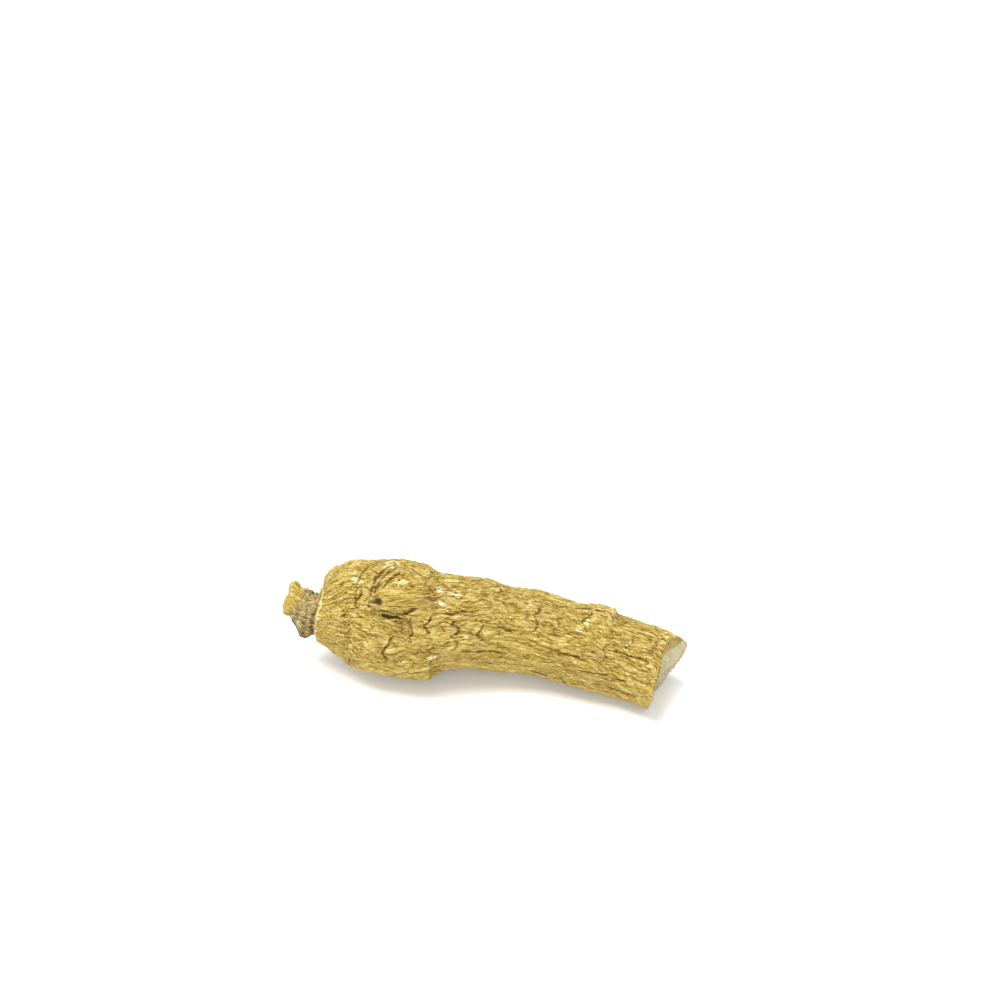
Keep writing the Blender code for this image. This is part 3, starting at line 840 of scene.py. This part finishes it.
def with_places(tree, bark, level, speck, broad):
    """The bark with its greyer stretches and brown spots, its pale scars, which are painted as highlights on
    the crests, and painted highlight flecks.
    """
    bark = tree.mix(tree.between(broad, 0.35, 0.7), bark, tree.mix(1.0, bark, GREYER, "MULTIPLY"))
    stain = tree.math("MULTIPLY", tree.mark("stain"), tree.between(speck, 0.25, 0.6), clamp=True)
    bark = tree.mix(stain, bark, tree.mix(1.0, bark, STAIN, "MULTIPLY"))
    # Pale scars, painted as highlights on the crests only
    scar_and_highlight = tree.math("MULTIPLY_ADD", tree.mark("scar_and_highlight"), 0.9, tree.math("MULTIPLY_ADD", speck, 2.4, -1.62))
    scar_and_highlight = tree.math("MULTIPLY", tree.between(scar_and_highlight, 0.0, 0.5), tree.between(level, 0.35, 0.6))
    bark = tree.mix(scar_and_highlight, bark, CREAM_AND_HIGHLIGHT)
    # Painted highlight flecks on the crests
    highlight_fleck = tree.noise(*HIGHLIGHT_FLECK)
    highlight_fleck = tree.math("MULTIPLY", tree.between(highlight_fleck, 0.58, 0.70), tree.between(level, 0.3, 0.6))
    return tree.mix(tree.math("MULTIPLY", highlight_fleck, 0.7), bark, CREAM_AND_HIGHLIGHT)


def with_lines(tree, bark, speck, wiggle):
    """The bark with painted highlights on its lips, edges and rims, then painted shade in its cracks and
    grooves, painted shadow under the side root and the collar, and painted shade in the side root's hollow.
    """
    # Painted highlights on the lips, edges and rims
    highlight_line = tree.math("MULTIPLY_ADD", tree.mark("highlight_line"), 1.4, tree.math("MULTIPLY_ADD", speck, 2.4, -1.5))
    bark = tree.mix(tree.math("MINIMUM", tree.between(highlight_line, 0.0, 1.0), 0.75), bark, CREAM_AND_HIGHLIGHT)
    # Painted shade in the grooves and cracks, and painted shadow under the side root and the collar
    shade_line = tree.math("MULTIPLY_ADD", tree.mark("shade_line"), 2.0, tree.math("MULTIPLY_ADD", wiggle, 1.6, -1.1))
    bark = tree.mix(tree.math("MINIMUM", tree.between(shade_line, 0.0, 1.0), 0.85), bark, SHADE_BROWN)
    # Painted shade in the hollow of the side root's end
    return tree.mix(tree.math("MINIMUM", tree.mark("hollow_shade"), 1.0), bark, HOLLOW_SHADE_BROWN)


def dried_bark():
    """Straw-coloured folded bark with painted shade in its furrows and painted highlights on its crests, and
    a pale cut face.
    """
    tree = Tree("ginseng_bark")
    noises = (WIGGLE, SMALL_FOLDS, FIBRE, SPECK, BROAD)
    wiggle, small, fibre, speck, broad = (tree.noise(*settings) for settings in noises)
    fold = tree.math("MULTIPLY_ADD", wiggle, 0.5, tree.math("SUBTRACT", tree.mark("fold"), 0.25))
    fold = tree.math("ABSOLUTE", fold)
    small_fold = tree.math("ABSOLUTE", tree.math("MULTIPLY_ADD", small, 4.0, -2.0))
    level = shade_and_tone_level(tree, wiggle, fibre, small_fold, fold)
    # Painted shade in the furrows and painted highlights on the crests, taken from the level
    bark = tree.ramp(level, BARK_SHADE_TO_HIGHLIGHT)
    neck = tree.mix(tree.mark("head"), tree.ramp(level, NECK_SHADE_TO_HIGHLIGHT), bark)
    bark = tree.mix(tree.mark("neck"), bark, neck)
    bark = with_places(tree, bark, level, speck, broad)
    bark = with_lines(tree, bark, speck, wiggle)
    # The cut face, with painted shade in the hollows of its fibres
    colour = tree.mix(tree.mark("flesh"), bark, tree.ramp(level, FLESH_SHADE_TO_LIGHT))
    tree.feed(tree.shader.inputs["Base Color"], colour)
    tree.feed(tree.shader.inputs["Roughness"], tree.math("MULTIPLY_ADD", level, -0.25, 0.75))
    tree.shader.inputs["Specular IOR Level"].default_value = SPECULAR
    bumps = tree.math("MULTIPLY", fibre, 0.9)
    bumps = tree.math("MULTIPLY_ADD", tree.between(small_fold, 0.0, 0.8), 0.8, bumps)
    bumps = tree.math("MULTIPLY_ADD", tree.between(fold, 0.0, 0.3), 0.6, bumps)
    bump = tree.add("Bump", {"Height": bumps, "Strength": 1.0, "Distance": BUMP * MM})
    tree.feed(tree.shader.inputs["Normal"], bump.outputs["Normal"])
    return tree.material


def floor():
    """A plain white floor."""
    size = 3.0
    mesh = bpy.data.meshes.new("floor")
    corners = [(x * size, y * size, 0) for x, y in ((-1, -1), (1, -1), (1, 1), (-1, 1))]
    mesh.from_pydata(corners, [], [(0, 1, 2, 3)])
    tree = Tree("white_floor")
    tree.shader.inputs["Base Color"].default_value = (*[FLOOR_WHITE] * 3, 1)
    tree.shader.inputs["Roughness"].default_value = 0.9
    tree.shader.inputs["Specular IOR Level"].default_value = 0.1
    mesh.materials.append(tree.material)
    obj = bpy.data.objects.new("floor", mesh)
    bpy.context.scene.collection.objects.link(obj)


def softbox(name, place, size, power):
    """A square lamp that faces the root."""
    lamp = bpy.data.lights.new(name, "AREA")
    lamp.size = size
    lamp.energy = power
    obj = bpy.data.objects.new(name, lamp)
    obj.location = place
    obj.rotation_euler = (-Vector(place)).to_track_quat("-Z", "Y").to_euler()
    bpy.context.scene.collection.objects.link(obj)


def light():
    """White surroundings and two soft lamps."""
    world = bpy.data.worlds.new("studio")
    world.use_nodes = True
    background = world.node_tree.nodes["Background"]
    background.inputs["Color"].default_value = (1, 1, 1, 1)
    background.inputs["Strength"].default_value = WORLD_LIGHT
    bpy.context.scene.world = world
    for name, place, size, power in SOFTBOXES:
        softbox(name, place, size, power)
    bpy.context.scene.view_settings.view_transform = "Standard"


def camera():
    """The photograph's camera: it looks down at the root from a little to its right."""
    turn, rise = math.radians(CAMERA_TURN), math.radians(CAMERA_RISE)
    back = Vector((math.sin(turn) * math.cos(rise), -math.cos(turn) * math.cos(rise), math.sin(rise)))
    right = Vector((math.cos(turn), math.sin(turn), 0))
    up = right.cross(-back)
    lens = bpy.data.cameras.new("camera")
    lens.sensor_width = SENSOR
    lens.lens = PIXELS_TO_METRE * CAMERA_AWAY / IMAGE * SENSOR
    lens.clip_start = 0.001
    obj = bpy.data.objects.new("camera", lens)
    across, down = ((px - IMAGE / 2) / PIXELS_TO_METRE for px in ROOT_PIXEL)
    target = Vector((0, 0, ROOT_MIDDLE)) - right * across + up * down
    obj.location = target + back * CAMERA_AWAY
    obj.rotation_euler = (-back).to_track_quat("-Z", "Y").to_euler()
    bpy.context.scene.collection.objects.link(obj)
    bpy.context.scene.camera = obj


def main():
    """Builds the scene: imports the CAD model and hides it, and adds the dressed root, its camera, light and
    floor.
    """
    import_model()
    camera()
    light()
    floor()
    mesh = skin_mesh("root_skin", *fine_skin())
    mesh.materials.append(dried_bark())
    root = bpy.data.objects.new("root_skin", mesh)
    bpy.context.scene.collection.objects.link(root)
    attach(root, "root")
    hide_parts(NODE)


main()
